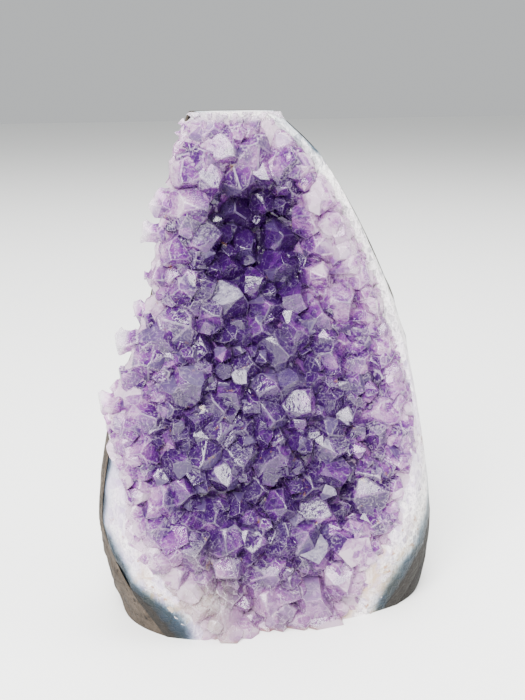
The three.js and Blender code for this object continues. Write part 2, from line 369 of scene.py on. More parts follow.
# %% How far each place is inside the rim
DEEP = 9 * MM  # from the tips down to the bed
RIM_WIDTH = 6 * MM  # over which the hollow falls to that depth
TOP_RIM, TOP_WIDTH = 1.5 * MM, 8 * MM  # the ground rim along the top, and the fall below it
FLUSH_LEFT, FLUSH_RIGHT = 3.5 * MM, 4 * MM  # how far crystals cut flush reach over the low rims
FLUSH_PROUD = 0.8 * MM  # how much thicker they make the crust


def inside_of(left, right):
    """How far each place is in from both ends of its row, and below 0 beside them."""
    return softened(np.minimum(columns - left[:, None], right[:, None] - columns), 1)


rim = inside_of(first - RIM_START, last + RIM_START)
below_top = np.clip(HEIGHT - TOP_RIM - levels, 0, None)[:, None]
tips = bed - DEEP * steps(rim, 0, RIM_WIDTH) * steps(below_top, 0, TOP_WIDTH)
low_part = steps(levels, 70 * MM, 50 * MM)
first, last = first - FLUSH_LEFT * low_part, last + FLUSH_RIGHT * low_part
rim = inside_of(first - RIM_START, last + RIM_START)
tips = softened(tips - FLUSH_PROUD * steps(rim, 0, RIM_WIDTH), 2)
rim = np.minimum(rim, below_top * RIM_WIDTH / TOP_WIDTH)
print("the crystals are up to", round((bed - tips).max() / MM, 1), "mm deep")


# %% Read a height map between its places
def read(field, x, z):
    """The field at any x and z, blended from the four nearest places."""
    across = np.clip((np.asarray(x) - columns[0]) / STEP, 0, len(columns) - 1.001)
    up = np.clip((np.asarray(z) - levels[0]) / STEP, 0, len(levels) - 1.001)
    column, row = across.astype(int), up.astype(int)
    right, above = across - column, up - row
    low = field[row, column] * (1 - right) + field[row, column + 1] * right
    high = field[row + 1, column] * (1 - right) + field[row + 1, column + 1] * right
    return low * (1 - above) + high * above


print("the bed at the middle is at", round(float(read(bed, 0, 0.075)) / MM, 1), "mm")

# %% [markdown]
# ## The room that the crystals have
#
# Two closed sheets help to cut the crystals. The floor is the thin solid quartz that all of them grow
# from. The room is all the space that the saw and the grinding left to them: beside the ground rims its
# front is the ground surface itself, so a crystal there is cut flush, and in the hollow it is far enough
# forward to leave the tips alone. At the upper left the edge was never ground, so there the room goes
# past the edge. Both sheets stop a hair short of the planes of the base and the top, because two faces
# in one plane fight over each ray and come out black.

# %% Closed sheets between two surfaces
PROUD = 3.5 * MM  # how far crystals may stand out past the edge that was never ground
ACROSS, ROW = 90, 1.5 * MM  # places in a row, and from one row to the next
INSET = 0.4 * MM  # how far the sheets stay inside the outline
SHY = 0.06 * MM  # how far they stay off the planes of the base and the top
LOW_LEFT, LOW_RIGHT = 4 * MM, 2 * MM  # how much further in they stay beside the bare feet


def rows_of_places(bottom, inset, proud):
    """Rows of x and z that fit the outline of the front, from a bottom level to the top."""
    heights = np.append(np.arange(bottom, HEIGHT - 0.5 * MM, ROW), HEIGHT - SHY)
    left = np.interp(heights, levels, left_edge) + inset
    right = np.interp(heights, levels, right_edge) - inset
    calm_top = 0.4 + 0.6 * steps(HEIGHT - heights, 3 * MM, 40 * MM)
    wild_here = steps(heights, WILD_FROM, WILD_FROM + WILD_FADE) * calm_top
    left = left - (proud + inset) * wild_here + LOW_LEFT * steps(heights, 56 * MM, 42 * MM)
    right = right - LOW_RIGHT * steps(heights, 82 * MM, 72 * MM)
    x = left[:, None] + (right - left)[:, None] * np.linspace(0, 1, ACROSS)
    return x, np.repeat(heights[:, None], ACROSS, axis=1)


def mesh_object(name, points, faces):
    """An object in the scene with these points and faces."""
    mesh = bpy.data.meshes.new(name)
    mesh.from_pydata([tuple(p) for p in points], [], [tuple(f) for f in faces])
    made = bpy.data.objects.new(name, mesh)
    scene.collection.objects.link(made)
    return made


def grid_faces(rows, count, start=0, flip=False):
    """Squares between rows of points."""
    faces = []
    for row in range(rows - 1):
        for i in range(count - 1):
            a = start + row * count + i
            face = (a, a + 1, a + 1 + count, a + count)
            faces.append(face[::-1] if flip else face)
    return faces


def closed_sheet(name, x, z, front, back):
    """A closed solid between two depths."""
    rows, count = x.shape
    half = rows * count
    points = [np.stack([x, y, z], axis=-1).reshape(-1, 3) for y in (front, back)]
    faces = grid_faces(rows, count) + grid_faces(rows, count, half, flip=True)
    ring = [i for i in range(count)] + [row * count + count - 1 for row in range(1, rows)]
    ring += [(rows - 1) * count + i for i in range(count - 2, -1, -1)]
    ring += [row * count for row in range(rows - 2, 0, -1)]
    for one, other in zip(ring, ring[1:] + ring[:1]):
        faces.append((other, one, one + half, other + half))
    return mesh_object(name, np.concatenate(points), faces)


print("the sheets have", ACROSS, "places in a row")

# %% The floor and the room
ROOTED = 0.4 * MM  # how far behind the bed they end, inside the quartz wall
FLOOR_THICK = 1.6 * MM
FULL_DEPTH = 6 * MM  # of the hollow, where the floor has its full thickness
SUNK, HIDDEN = 2 * MM, 0.5 * MM  # how far under the ground surface they lie where nothing grows
EDGE = 0.6 * MM  # over which they sink
GRAIN_ZONE = 5.5 * MM  # how far out over the low rims small grains creep
GRAIN_PROUD = 0.5 * MM  # how far grains stand out of the ground surface
WILD_PROUD = 2.0 * MM  # how far the crystals of the wild edge stand out of the tips' sheet
LEFT_PART = 5 * MM  # the wild edge is to the left of this


def sunk_at(x, z):
    """How far the sheets go into the quartz wall: a little under the grains, and more beyond them."""
    grains = GRAIN_ZONE * steps(z, 80 * MM, 70 * MM)
    here = read(rim, x, z)
    sunk = HIDDEN * steps(here, EDGE, 0) + (SUNK - HIDDEN) * steps(here, -grains, -grains - EDGE)
    return sunk * steps(HEIGHT - z, 0.8 * MM, 2.4 * MM)


x, z = rows_of_places(SHY, INSET, PROUD)
here = read(rim, x, z)
loose = GRAIN_PROUD + 0.4 * MM * steps(here, 0.5 * MM, 3 * MM) + 1.6 * MM * steps(here, 8 * MM, 14 * MM)
loose = np.where((x < LEFT_PART) & (z > WILD_FROM), WILD_PROUD, loose)
beyond = np.clip(np.interp(z, levels, left_edge) - x, 0, None)
sunk = sunk_at(x, z)
room_front = np.maximum(read(tips, x, z) - loose, cad_low.y + 0.05 * MM) + np.where(sunk > HIDDEN, sunk, 0)
room_solid = closed_sheet("room_solid", x, z, room_front, read(bed, x, z) + ROOTED + 1.5 * beyond + sunk)

x, z = rows_of_places(SHY, INSET, -INSET)
depth_here = read(bed, x, z) - read(tips, x, z)
sunk = sunk_at(x, z)
floor_front = read(bed, x, z) - FLOOR_THICK * np.clip(depth_here / FULL_DEPTH, 0, 1) + sunk
floor_solid = closed_sheet("floor_solid", x, z, floor_front, read(bed, x, z) + ROOTED + sunk)
print("room:", len(room_solid.data.polygons), "faces, floor:", len(floor_solid.data.polygons), "faces")

# %% [markdown]
# ## The crystals
#
# A quartz crystal is a six-sided prism that ends in six flat faces. No two faces are equal: three are
# usually larger, the point stands off the middle, and the edges are a little worn. So each crystal is cut
# out of a cube by twelve planes with a little chance in each, and its edges are bevelled. Two dozen of each
# of three sorts are enough, because turn, lean and size hide the repeats. Each has its point at the origin:
# hanging them by the point instead of standing them on the root says how far forward each one comes.
# The mesh also carries numbers for the finish: a shade for each facet, which the finish also uses for painted
# light and shade and a painted sheen, a tint for each crystal, where the worn edges are, and how near the
# middle each corner is.

# %% Cut a crystal out of a cube
TILT = math.radians(49)  # of the end faces of most crystals
BLUNT_TILT = math.radians(36)  # and of those beside the rims
KINDS = 24  # crystals of each sort
SIDES = 6
APOTHEM = 0.87  # from the middle to the sides, for a crystal of radius 1
dice = random.Random(7)


def cut_away(shape, normal, distance):
    """Cuts off what lies beyond a plane, and closes the cut."""
    normal = Vector(normal)
    geometry = shape.verts[:] + shape.edges[:] + shape.faces[:]
    done = bmesh.ops.bisect_plane(
        shape, geom=geometry, dist=1e-6, plane_co=normal * distance, plane_no=normal, clear_outer=True
    )
    rim = [edge for edge in done["geom_cut"] if isinstance(edge, bmesh.types.BMEdge)]
    if len(rim) > 2:
        bmesh.ops.edgeloop_fill(shape, edges=rim)


def crystal_mesh(name, length, worn, end_tilt):
    """A crystal of radius 1 with its point near the origin, its root at -length, and worn edges."""
    shape = bmesh.new()
    bmesh.ops.create_cube(shape, size=2 * length)
    slim = dice.uniform(0.86, 1.16)
    for i in range(SIDES):
        angle = (i + dice.uniform(-0.12, 0.12)) * math.tau / SIDES
        side = Vector((math.cos(angle) * slim, math.sin(angle) / slim, dice.uniform(-0.06, 0.02)))
        cut_away(shape, side.normalized(), APOTHEM * dice.uniform(0.86, 1.08))
    small_ends = dice.uniform(0.0, 0.2)
    for i in range(SIDES):
        angle = (i + dice.uniform(-0.08, 0.08)) * math.tau / SIDES
        tilt = end_tilt + dice.uniform(-0.06, 0.06)
        end = Vector((math.cos(angle) * math.sin(tilt), math.sin(angle) * math.sin(tilt), math.cos(tilt)))
        back = small_ends + dice.uniform(0, 0.1) if i % 2 else dice.uniform(-0.08, 0.1)
        cut_away(shape, end, back)
    root = -length + 0.01
    worn_edges = [edge for edge in shape.edges if any(vert.co.z > root for vert in edge.verts)]
    facet = shape.faces.layers.float.new("facet")
    tint_of = shape.faces.layers.float.new("tint")
    edge_of = shape.faces.layers.float.new("edge")
    core_of = shape.loops.layers.float.new("core")
    rounded = bmesh.ops.bevel(
        shape, geom=worn_edges, offset=worn, segments=1, affect="EDGES", profile=0.5, clamp_overlap=True
    )
    tint = dice.random()
    for face in shape.faces:
        face[facet] = dice.random()
        face[tint_of] = tint
        face.smooth = True
        for loop in face.loops:
            loop[core_of] = 1 - min(math.hypot(loop.vert.co.x, loop.vert.co.y), 1)
    for face in rounded["faces"]:
        face[edge_of] = 1
    bmesh.ops.remove_doubles(shape, verts=shape.verts, dist=1e-5)
    bmesh.ops.recalc_face_normals(shape, faces=shape.faces)
    mesh = bpy.data.meshes.new(name)
    shape.to_mesh(mesh)
    shape.free()
    return mesh


print("a crystal is cut by", 2 * SIDES, "planes")


# %% Three sorts of crystal
def crystal_kinds(name, length, worn, end_tilt=TILT):
    """A collection of crystals of one sort."""
    kinds = bpy.data.collections.new(name)
    for kind in range(KINDS):
        mesh = crystal_mesh(f"{name}_{kind}", length, worn, end_tilt)
        kinds.objects.link(bpy.data.objects.new(mesh.name, mesh))
    return kinds


crystals = crystal_kinds("crystals", 2.6, 0.05)
small_crystals = crystal_kinds("small_crystals", 3.8, 0.06)
blunt_crystals = crystal_kinds("blunt_crystals", 3.0, 0.07, BLUNT_TILT)

# %% [markdown]
# ## Where crystals may grow
#
# The crystals hang from a sheet that runs through their tips. Its points carry the numbers that the
# planting asks for: how far inside the rim they are, how far from the next large crystal, and how much room
# there is behind them. Nothing grows on the agate beside the rind, nor on the ground rims higher up. The
# large crystals are placed one by one, because they give the piece its face, and all others by chance.

# %% Numbers on points
def carry(mesh, name, values, kind="FLOAT", field="value"):
    """Gives each point of a mesh a number, or a direction."""
    flat = np.asarray(values, dtype=np.float32).ravel()
    mesh.attributes.new(name, kind, "POINT").data.foreach_set(field, flat)


def nearest(piece, points):
    """How far points are from a piece, in millimetres."""
    faces = [list(polygon.vertices) for polygon in piece.polygons]
    tree = BVHTree.FromPolygons([vertex.co.copy() for vertex in piece.vertices], faces)
    return np.array([tree.find_nearest(Vector(point))[3] for point in points]) / MM


BARE = 4.5 * MM  # how far grains keep away from the rind
LOW_PART = 75 * MM  # grains creep out over the ground rims only below this
NOTHING = -99  # further outside than any crystal grows
OVERLAP = 0.8  # of a large crystal's radius stays free of others
print("grains keep", BARE / MM, "mm away from the rind")

# %% The sheet that the tips reach
LARGE = [  # across, height and radius of each, in millimetres
    (-4, 54, 8.2), (14, 52, 6.6), (5, 74, 7.2), (16, 81, 6.6), (6, 88, 5.8), (-14, 72, 5.6),
    (-19, 46, 5.6), (-34, 54, 5.2), (15, 14, 6.8), (6, 22, 6), (-9, 6, 6.4), (28, 56, 5.4),
    (-1, 131, 5.6), (-16, 130, 5.4), (-29, 102, 5.2), (-25, 122, 5),
]
x, z = rows_of_places(-5 * MM, INSET, 1.0 * MM)
y = read(tips, x, z)
places = np.stack([x, y, z], axis=-1).reshape(-1, 3)
sheet = mesh_object("tip_sheet", places, grid_faces(*x.shape))
big = np.array(LARGE) * MM
gap = np.hypot(x[..., None] - big[:, 0], z[..., None] - big[:, 1]) - big[:, 2] * OVERLAP
slack = np.clip((read(bed, x, z) - read(tips, x, z)) / FULL_DEPTH, 0.5, 1)
unground = steps(z, WILD_FROM, WILD_FROM + WILD_FADE) * steps(HEIGHT - z, 1 * MM, 6 * MM) * (x < LEFT_PART)
planted = read(rim, x, z) / MM + RIM_WIDTH / MM * unground
to_rind = nearest(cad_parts["basalt_rind"].data, places).reshape(x.shape) * MM
on_agate = to_rind < BARE * (1 + 0.35 * steps(z, 30 * MM, 10 * MM))
bare_rim = on_agate & (z < LOW_PART) | (planted < 0) & (z > LOW_PART)
carry(sheet.data, "rim", np.where(bare_rim, NOTHING, planted))
carry(sheet.data, "clear", np.min(gap, axis=-1) / MM)
carry(sheet.data, "slack", slack)
print("sheet:", len(sheet.data.vertices), "points")

# %% The large crystals, one by one
BEHIND = 0.6 * MM  # how far their points stay behind the sheet of the tips
REACH = 4 * MM  # how far around a point the slope of the sheet is measured
tip_points = [(px, float(read(tips, px, pz)) + BEHIND, pz) for px, pz, _ in big]
large_sheet = mesh_object("large_points", tip_points, [])
slopes = []
for px, pz, _ in big:
    dx = float(read(tips, px + REACH, pz) - read(tips, px - REACH, pz)) / (2 * REACH)
    dz = float(read(tips, px, pz + REACH) - read(tips, px, pz - REACH)) / (2 * REACH)
    slopes.append(Vector((dx, -1, dz)).normalized())
carry(large_sheet.data, "radius", big[:, 2])
carry(large_sheet.data, "faces", slopes, "FLOAT_VECTOR", "vector")
print(len(LARGE), "large crystals, up to", max(radius for _, _, radius in LARGE), "mm in radius")

# %% [markdown]
# ## Planting with Geometry Nodes
#
# One group plants one size of crystal on the sheet, and it is used five times: for the middle ones in the
# hollow, small ones in the gaps behind them, blunt ones beside the rims, grains out on the low rims, and a
# footing along the base. Distribute Points keeps the crystals of one size apart. Mesh Boolean then joins
# them, the large ones and the floor to one solid, as real crystals grow together, and cuts it with the room.


# %% A group that plants one size of crystal
def new_tree(name, inputs):
    """A Geometry Nodes tree with named inputs: their types and starting values."""
    group = bpy.data.node_groups.new(name, "GeometryNodeTree")
    group.interface.new_socket("Geometry", in_out="OUTPUT", socket_type="NodeSocketGeometry")
    for label, (kind, value) in inputs.items():
        socket = group.interface.new_socket(label, in_out="INPUT", socket_type="NodeSocket" + kind)
        if value is not None:
            socket.default_value = value
    tree = Tree(group)
    group.nodes.new("NodeGroupInput")
    ends = {s.name: Value(tree, s) for s in group.nodes[0].outputs if s.name}
    return tree, ends


def end_tree(tree, geometry):
    """Hands the geometry to the group's output."""
    ending = tree.tree.nodes.new("NodeGroupOutput")
    tree.tree.links.new(geometry.socket, ending.inputs[0])


plant, given = new_tree(
    "plant_crystals",
    {
        "Geometry": ("Geometry", None),
        "Kinds": ("Collection", None),
        "Spacing": ("Float", 6.0),
        "Thinnest": ("Float", 3.0),
        "Thickest": ("Float", 4.5),
        "Nearest": ("Float", 0.0),
        "Deepest": ("Float", 2.0),
        "Rim from": ("Float", 4.0),
        "Rim to": ("Float", 99.0),
        "Clear": ("Float", 0.0),
        "Lean": ("Float", 0.3),
        "Highest": ("Float", 999.0),
        "Seed": ("Int", 1),
    },
)


HALF_TURN = 3.1416


def carried(tree, name, kind="FLOAT"):
    """A number or direction that the points carry."""
    return tree.node("GeometryNodeInputNamedAttribute", {"data_type": kind}, {"Name": name})


def chance(tree, low, high, seed):
    """A random number for each point."""
    return tree.node("FunctionNodeRandomValue", {"data_type": "FLOAT"}, {2: low, 3: high, "Seed": seed}, 1)


def leaning(tree, rotation, lean, seed):
    """A rotation that points up the given way, with a random turn and lean."""
    low = tree.node("ShaderNodeCombineXYZ", {}, {0: lean * -1, 1: lean * -1, 2: -HALF_TURN})
    high = tree.node("ShaderNodeCombineXYZ", {}, {0: lean, 1: lean, 2: HALF_TURN})
    inputs = {0: low, 1: high, "Seed": seed}
    angles = tree.node("FunctionNodeRandomValue", {"data_type": "FLOAT_VECTOR"}, inputs)
    turn = tree.node("FunctionNodeEulerToRotation", {}, {0: angles})
    return tree.node("FunctionNodeRotateRotation", {"rotation_space": "LOCAL"}, {0: rotation, 1: turn})


def upwards(tree, direction):
    """The rotation that turns Z to a direction."""
    return tree.node("FunctionNodeAlignRotationToVector", {"axis": "Z"}, {"Vector": direction})


def set_on(tree, points, kinds, rotation, size):
    """One crystal of a collection, picked by chance, on each point."""
    separate = {"Collection": kinds, "Separate Children": True, "Reset Children": True}
    crystal = tree.node("GeometryNodeCollectionInfo", {}, separate)
    inputs = {"Points": points, "Instance": crystal, "Pick Instance": True, "Rotation": rotation}
    return tree.node("GeometryNodeInstanceOnPoints", {}, {**inputs, "Scale": size})


print("the planting group has", len(given), "inputs")

# %% Points, their depth and their crystals
FORWARDS = (0, -0.7, 0.05)  # crystals lean this way from the sheet's own direction
rim_here = carried(plant, "rim")
allowed = rim_here.math("GREATER_THAN", given["Rim from"]) * rim_here.math("LESS_THAN", given["Rim to"])
allowed = allowed * carried(plant, "clear").math("GREATER_THAN", given["Clear"])
here = plant.node("ShaderNodeSeparateXYZ", {}, {0: plant.node("GeometryNodeInputPosition")}, "Z")
allowed = allowed * here.math("LESS_THAN", given["Highest"] * MM)
spots = plant.node(
    "GeometryNodeDistributePointsOnFaces",
    {"distribute_method": "POISSON"},
    {
        "Mesh": given["Geometry"],
        "Distance Min": given["Spacing"] * MM,
        "Density Max": 1e6,
        "Density Factor": allowed,
        "Seed": given["Seed"],
    },
)
normal = Value(plant, spots.socket.node.outputs["Normal"])
forwards = plant.node("ShaderNodeVectorMath", {"operation": "ADD"}, {0: normal, 1: FORWARDS})
down = chance(plant, given["Nearest"], given["Deepest"], given["Seed"] + 11) * carried(plant, "slack") * -MM
offset = plant.node("ShaderNodeVectorMath", {"operation": "SCALE"}, {"Vector": normal, "Scale": down})
spots = plant.node("GeometryNodeSetPosition", {}, {"Geometry": spots, "Offset": offset})
turned = leaning(plant, upwards(plant, forwards), given["Lean"], given["Seed"] + 23)
size = chance(plant, given["Thinnest"], given["Thickest"], given["Seed"] + 37) * MM
end_tree(plant, set_on(plant, spots, given["Kinds"], turned, size))
print("the planting group has", len(plant.tree.nodes), "nodes")

# %% The tree that grows the crust
crust_tree, given = new_tree(
    "amethyst_crust_nodes",
    {
        "Geometry": ("Geometry", None),
        "Crystals": ("Collection", None),
        "Small crystals": ("Collection", None),
        "Blunt crystals": ("Collection", None),
        "Large points": ("Object", None),
        "Floor": ("Object", None),
        "Room": ("Object", None),
        "Material": ("Material", None),
        "Seed": ("Int", 3),
    },
)


def planting(seed, **sizes):
    """One use of the planting group."""
    inputs = {name.replace("_", " "): value for name, value in sizes.items()}
    inputs |= {"Geometry": given["Geometry"], "Seed": given["Seed"] + seed}
    return crust_tree.node("GeometryNodeGroup", {"node_tree": plant.tree}, inputs)


def shape_of(name):
    """The mesh of an object that the tree is given."""
    return crust_tree.node("GeometryNodeObjectInfo", {}, {"Object": given[name]}, "Geometry")


def joined(operation, *parts):
    """A Mesh Boolean of closed solids, by the solver for such solids."""
    settings = {"operation": operation, "solver": "MANIFOLD"}
    done = crust_tree.node("GeometryNodeMeshBoolean", settings, {"Mesh 2": parts[0]})
    for part in parts[1:]:
        crust_tree.tree.links.new(part.socket, done.socket.node.inputs["Mesh 2"])
    return done


print("the crust is given", sorted(given))

# %% Five plantings and the large crystals
LARGE_LEAN = 0.2
middle = planting(
    10, Kinds=given["Crystals"], Spacing=8.4, Thinnest=5.2, Thickest=8.2,
    Nearest=-0.8, Deepest=3.0, Rim_from=5.0, Clear=1.0, Lean=0.33,
)
between = planting(
    50, Kinds=given["Small crystals"], Spacing=4.5, Thinnest=2.8, Thickest=4.4,
    Nearest=2.0, Deepest=5.4, Rim_from=5.0, Clear=-2.0, Lean=0.5,
)
beside = planting(
    92, Kinds=given["Blunt crystals"], Spacing=3.3, Thinnest=2.4, Thickest=4.4,
    Nearest=-1.0, Deepest=1.0, Rim_from=0.25, Rim_to=7.0, Clear=0.5, Lean=0.3,
)
grains = planting(
    130, Kinds=given["Small crystals"], Spacing=1.8, Thinnest=1.1, Thickest=2.1,
    Nearest=-0.9, Deepest=0.1, Rim_from=-8.0, Rim_to=1.5, Clear=0.0, Lean=0.7,
)
footing = planting(
    170, Kinds=given["Blunt crystals"], Spacing=4.2, Thinnest=3.2, Thickest=5.0,
    Nearest=-0.8, Deepest=1.2, Rim_from=2.0, Clear=-9.0, Lean=0.3, Highest=2.5,
)
upright = upwards(crust_tree, carried(crust_tree, "faces", "FLOAT_VECTOR"))
turned = leaning(crust_tree, upright, LARGE_LEAN, given["Seed"] + 5)
radius = carried(crust_tree, "radius")
large = set_on(crust_tree, shape_of("Large points"), given["Crystals"], turned, radius)
grown = joined("UNION", shape_of("Floor"), middle, between, beside, grains, footing, large)
whole = crust_tree.node("GeometryNodeRealizeInstances", {}, {0: joined("INTERSECT", grown, shape_of("Room"))})
finished = {"Geometry": whole, "Material": given["Material"]}
end_tree(crust_tree, crust_tree.node("GeometryNodeSetMaterial", {}, finished))
print("the crust's tree has", len(crust_tree.tree.nodes), "nodes")

# %% [markdown]
# ## From the tree to a plain mesh
#
# A modifier's input is set by its socket's identifier, before the object is first evaluated. The result is
# then made a plain mesh and the modifier goes, because nothing that comes later should have to grow the
# crystals again. The cut leaves a few crumbs of crystal beside the crust, which are found by walking from
# point to point along the edges, and deleted.

# %% Give the tree its inputs
amethyst = bpy.data.materials.new("amethyst")
crust = bpy.data.objects.new("amethyst_crystals", sheet.data.copy())
scene.collection.objects.link(crust)
growth = crust.modifiers.new("growth", "NODES")
growth.node_group = crust_tree.tree
choices = {
    "Crystals": crystals, "Small crystals": small_crystals, "Blunt crystals": blunt_crystals,
    "Large points": large_sheet, "Floor": floor_solid, "Room": room_solid, "Material": amethyst, "Seed": 3,
}
for item in crust_tree.tree.interface.items_tree:
    if item.in_out == "INPUT" and item.name in choices:
        growth[item.identifier] = choices[item.name]
print("inputs set:", sorted(choices))


# %% Run it once and keep its mesh
def made_plain(piece):
    """The object with its modifiers turned into a plain mesh."""
    graph = bpy.context.evaluated_depsgraph_get()
    mesh = bpy.data.meshes.new_from_object(piece.evaluated_get(graph), depsgraph=graph)
    piece.modifiers.clear()
    piece.data = mesh
    return piece


def largest_body(mesh):
    """Deletes the crumbs that a cut leaves."""
    shape = bmesh.new()
    shape.from_mesh(mesh)
    left, bodies = set(shape.verts), []
    while left:
        body, front = set(), [left.pop()]
        while front:
            vert = front.pop()
            body.add(vert)
            near = {edge.other_vert(vert) for edge in vert.link_edges} & left
            left -= near
            front += near
        bodies.append(body)
    bodies.sort(key=len)
    bmesh.ops.delete(shape, geom=[vert for body in bodies[:-1] for vert in body], context="VERTS")
    shape.to_mesh(mesh)
    shape.free()
    print("bodies:", len(bodies), "and the largest is kept")


made_plain(crust)
largest_body(crust.data)
for helper in (sheet, large_sheet, floor_solid, room_solid):
    bpy.data.objects.remove(helper)
crust.data.name = "amethyst_crystals"
triangles = sum(len(face.vertices) - 2 for face in crust.data.polygons)
print("crust:", len(crust.data.polygons), "faces,", triangles, "triangles")

# %% [markdown]
# ## The stone
#
# The solids of the rind and of the quartz wall have the right shape, but their faces are ten millimetres
# wide. So each is copied, its long edges are halved until all are short, and its points are relaxed towards
# their neighbours. A point on a sharp edge only follows that edge, so the ground rims stay crisp. Each copy
# is merged first, because a solid comes in as loose triangles.

# %% Fine copies of the solids
FINE = 1.7 * MM  # the longest edge
HALVINGS = 4
TOUCHING = 1e-7


def fine_copy(node, name):
    """A merged copy of a solid with short edges. Its flat ends are cut into small squares."""
    shape = bmesh.new()
    shape.from_mesh(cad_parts[node].data)
    bmesh.ops.remove_doubles(shape, verts=shape.verts, dist=TOUCHING)

    def end_faces(level):
        return [f for f in shape.faces if all(abs(vert.co.z - level) < 1e-6 for vert in f.verts)]

    for level in (0, HEIGHT):
        bmesh.ops.dissolve_faces(shape, faces=end_faces(level))
        for axis, low, high in ((0, cad_low.x, cad_high.x), (1, cad_low.y, cad_high.y)):
            for place in np.arange(low, high, 4 * FINE):
                ends = end_faces(level)
                parts = {part for face in ends for part in (*face.verts, *face.edges)}
                at, along = Vector(), Vector()
                at[axis], along[axis] = place, 1
                bmesh.ops.bisect_plane(
                    shape, geom=[*parts, *ends], dist=TOUCHING, plane_co=at, plane_no=along
                )
    for _ in range(HALVINGS):
        long_edges = [edge for edge in shape.edges if edge.calc_length() > FINE]
        bmesh.ops.subdivide_edges(shape, edges=long_edges, cuts=1)
        bmesh.ops.triangulate(shape, faces=[face for face in shape.faces if len(face.verts) > 3])
    made = bpy.data.objects.new(name, bpy.data.meshes.new(name))
    shape.to_mesh(made.data)
    shape.free()
    scene.collection.objects.link(made)
    return made


rind = fine_copy("basalt_rind", "rind")
wall = fine_copy("quartz_wall", "wall")
print("faces:", len(rind.data.polygons), "on the rind,", len(wall.data.polygons), "on the wall")


# %% Even the copies out
def points_of(mesh, field="co"):
    """The places or the normals of a mesh's points."""
    values = np.zeros(len(mesh.vertices) * 3)
    mesh.vertices.foreach_get(field, values)
    return values.reshape(-1, 3)


SHARP = math.radians(32)  # the angle from which an edge is kept
ROUNDS, AMOUNT = 30, 0.5  # how often each point moves, and how far towards its neighbours


def relax(mesh):
    """Evens the surface out. Points on a sharp edge only move along it, and its corners stay."""
    shape = bmesh.new()
    shape.from_mesh(mesh)
    sharp = np.array([not edge.is_manifold or edge.calc_face_angle(0) > SHARP for edge in shape.edges])
    shape.free()
    ends = np.zeros(len(mesh.edges) * 2, dtype=np.int32)
    mesh.edges.foreach_get("vertices", ends)
    ends = ends.reshape(-1, 2)
    count = len(mesh.vertices)
    on_sharp = np.bincount(ends[sharp].ravel(), minlength=count)
    follows = ~(on_sharp[ends] > 0) | sharp[:, None]
    one, other = ends[follows[:, 0], 0], ends[follows[:, 0], 1]
    start = np.concatenate([one, ends[follows[:, 1], 1]])
    finish = np.concatenate([other, ends[follows[:, 1], 0]])
    near = np.maximum(np.bincount(start, minlength=count), 1)
    share = np.where(on_sharp > 2, 0, AMOUNT)[:, None]
    places = points_of(mesh)
    for _ in range(ROUNDS):
        mean = np.stack([np.bincount(start, places[finish, k], minlength=count) for k in range(3)], axis=1)
        places += (mean / near[:, None] - places) * share
    mesh.vertices.foreach_set("co", places.ravel())
    mesh.update()


for piece in (rind, wall):
    relax(piece.data)
    print(piece.name, len(piece.data.vertices), "points,", len(piece.data.polygons), "faces")

# %% Distances between the layers
wall_points = points_of(wall.data)
rind_points = points_of(rind.data)
from_rind = nearest(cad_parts["basalt_rind"].data, wall_points)
from_wall = nearest(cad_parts["quartz_wall"].data, rind_points)
print("the rind is up to", round(from_wall.max(), 1), "mm thick")

# %% [markdown]
# ## Natural skin
#
# The back of the rind was never touched by a tool. Noise moves its points inwards by slow lumps with
# smaller ones on them, so the outline never grows. The sawn base, the ground rims and the side towards the
# quartz keep their places, and where the rind is thin the lumps stop short of the quartz behind it. A bump in
# the material would have been less work, but it leaves the outline smooth.

# %% Lumps of the natural skin
LUMPS, LUMP_WIDTH = 1.6 * MM, 9  # how deep, and how many millimetres wide
BUMPS, BUMP_WIDTH = 0.35 * MM, 2.2
AT_ENDS = (0.2 * MM, 3 * MM)  # over which the lumps start, from the base and from the top
rind_normals = points_of(rind.data, "normal")
skin = steps(from_wall, 0.45, 1.0) * steps(rind_normals[:, 1], -0.75, -0.2)
skin *= steps(rind_points[:, 2], *AT_ENDS) * steps(HEIGHT - rind_points[:, 2], *AT_ENDS)
moved = rind_points.copy()
for index in np.nonzero(skin > 0)[0]:
    place = Vector(rind_points[index]) / MM
    lump = noise.fractal(place / LUMP_WIDTH, 1.0, 2.0, 3) * LUMPS + noise.noise(place / BUMP_WIDTH) * BUMPS
    inward = min((LUMPS - lump) * skin[index] * 0.5, (from_wall[index] - 0.4) * 0.6 * MM)
    moved[index] -= rind_normals[index] * inward
rind.data.vertices.foreach_set("co", moved.ravel())
rind.data.update()
print(int((skin > 0).sum()), "points of skin moved")

# %% [markdown]
# ## The layers meet, and carry their numbers
#
# The solids are a hair apart, and the real layers have grown together, so the wall's points move out along
# their normals until they all but touch the rind. After that each mesh is given the numbers that its finish
# will ask for, such as the distance to the next layer or to the ground rim. Numbers on the points move with
# the mesh, and a pattern that follows a layer's edge can't be had from noise alone.

# %% The quartz wall meets the rind
WALL_GROWS = 0.27 * MM
wall_normals = points_of(wall.data, "normal")
grown_points = wall_points + wall_normals * WALL_GROWS
x, y, z = wall_points.T
grown_points[:, 2] = np.clip(np.where(z < 1e-6, 0, grown_points[:, 2]), 0, HEIGHT)
in_front = steps(2 * MM - np.abs(y - read(bed, x, z)), 0, MM)
hollow = read(rim, x, z) / MM * in_front
beside = np.maximum(np.interp(z, levels, first) - x, x - np.interp(z, levels, last))
wall.data.vertices.foreach_set("co", grown_points.ravel())
carry(wall.data, "from_rind", from_rind)
carry(wall.data, "hollow", hollow)
carry(wall.data, "outside", np.clip(beside, 0, None) / MM)
wall.data.update()
print("the hollow reaches", round(hollow.max(), 1), "mm in from its rim")

# %% Read the hollow on the crystals
x, y, z = points_of(crust.data).T
below_tips = (y - read(tips, x, z)) / MM
carry(crust.data, "rim", read(rim, x, z) / MM)
carry(crust.data, "below", below_tips)
print("crystals stand up to", round(-below_tips.min(), 1), "mm proud")

